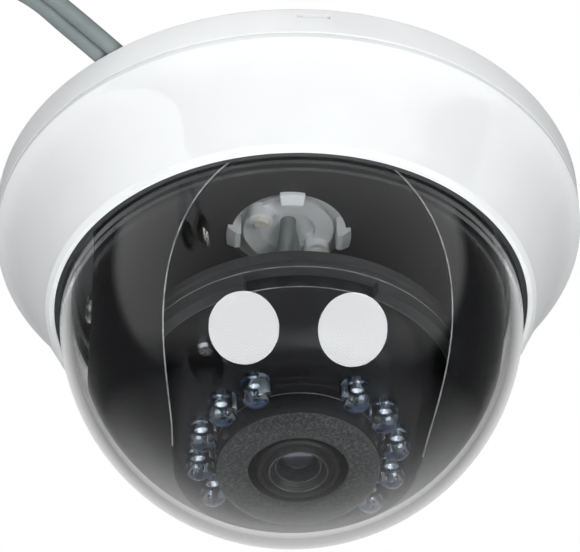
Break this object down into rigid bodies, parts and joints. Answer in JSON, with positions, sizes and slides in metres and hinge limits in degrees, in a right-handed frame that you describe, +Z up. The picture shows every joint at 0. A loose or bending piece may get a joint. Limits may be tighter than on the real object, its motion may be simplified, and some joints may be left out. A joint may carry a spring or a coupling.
{
  "type": "dome cctv camera",
  "caption": "Ceiling dome camera: white twist-off cover, clear bubble, panning black liner, tilting and turning lens module with infrared lamps, and two leads with sockets.",
  "frame": {"origin": "centre of the flat back face that goes against the ceiling, on the axis of the round body", "axes": "+Z up, out of the back face into the ceiling; the bubble hangs towards -Z; -Y is the front that the lens tilts towards, before the 7 degrees of pan it is modelled with; +X is to the right seen from the front"},
  "size_m": [0.1342, 0.159, 0.0797],
  "materials": {
    "white_plastic": "satin moulded ABS, fine texture",
    "clear_dome": "clear polycarbonate, polished",
    "black_gloss": "glossy moulded ABS",
    "black_plastic": "matte moulded ABS",
    "lens_black": "black anodised aluminium",
    "black_rubber": "matte rubber",
    "white_rubber": "satin rubber",
    "foam": "open-cell light-shield foam",
    "steel": "nickel-plated steel",
    "nickel": "nickel-plated brass",
    "grey_lead": "satin PVC sheath",
    "plug_nylon": "natural nylon",
    "nylon": "natural nylon",
    "circuit_board": "glass-epoxy board with solder mask",
    "sensor_ceramic": "photocell under clear resin",
    "sensor_package": "image sensor package",
    "lens_glass": "coated optical glass",
    "filter_glass": "infrared cut filter",
    "lamp_epoxy": "clear water-white epoxy"
  },
  "bodies": {
    "base": {"mounting_base": "white_plastic", "cable_grommet": "white_rubber", "inner_leads": "grey_lead", "inner_plug": "plug_nylon", "lead_clamp": "white_plastic", "clamp_screws": "nylon", "video_lead_start": "grey_lead", "video_lead_coil": "grey_lead", "video_lead_tail": "grey_lead", "video_socket_boot": "black_rubber", "video_socket": "nickel", "power_lead_start": "grey_lead", "power_lead_coil": "grey_lead", "power_lead_tail": "grey_lead", "power_socket_boot": "black_rubber", "power_socket": "black_plastic"},
    "enclosure": {"cover": "white_plastic", "dome_bubble": "clear_dome", "dome_seal": "black_rubber", "dome_retainer": "black_plastic"},
    "pan_body": {"pan_plate": "black_plastic", "liner": "black_gloss", "liner_screws": "steel"},
    "tilt_body": {"tilt_ring": "black_plastic", "pivot_screws": "steel", "pivot_washers": "nylon", "module_snap_ring": "steel"},
    "lens_module": {"front_shell": "black_gloss", "rear_shell": "black_plastic", "shell_screws": "steel", "lamp_board": "circuit_board", "lamp_board_screws": "steel", "light_sensor": "sensor_ceramic", "foam_ring": "foam", "sensor_board": "circuit_board", "sensor_board_screws": "steel", "image_sensor": "sensor_package", "lens_holder": "black_plastic", "lens_barrel": "lens_black", "lens_lock_ring": "black_plastic", "lens_front_element": "lens_glass", "lens_rear_element": "lens_glass", "infrared_filter": "filter_glass", "infrared_lamp_1": "lamp_epoxy", "infrared_lamp_2": "lamp_epoxy", "infrared_lamp_3": "lamp_epoxy", "infrared_lamp_4": "lamp_epoxy", "infrared_lamp_5": "lamp_epoxy", "infrared_lamp_6": "lamp_epoxy", "infrared_lamp_7": "lamp_epoxy", "infrared_lamp_8": "lamp_epoxy", "infrared_lamp_9": "lamp_epoxy", "infrared_lamp_10": "lamp_epoxy"}
  },
  "joints": [
    {"name": "cover_twist", "type": "hinge", "parent": "base", "child": "enclosure", "pos_m": [0, 0, 0], "axis": [0, 0, 1], "range_deg": [0, 20]},
    {"name": "pan", "type": "hinge", "parent": "base", "child": "pan_body", "pos_m": [0, 0, 0], "axis": [0, 0, 1], "range_deg": [-177, 178]},
    {"name": "tilt", "type": "hinge", "parent": "pan_body", "child": "tilt_body", "pos_m": [0, 0, -0.0258], "axis": [-0.9925, -0.1219, 0], "range_deg": [-4, 53]},
    {"name": "lens_rotation", "type": "hinge", "parent": "tilt_body", "child": "lens_module", "pos_m": [0, 0, -0.0258], "axis": [0.0085, -0.0692, -0.9976], "range_deg": [-177, 178]}
  ]
}
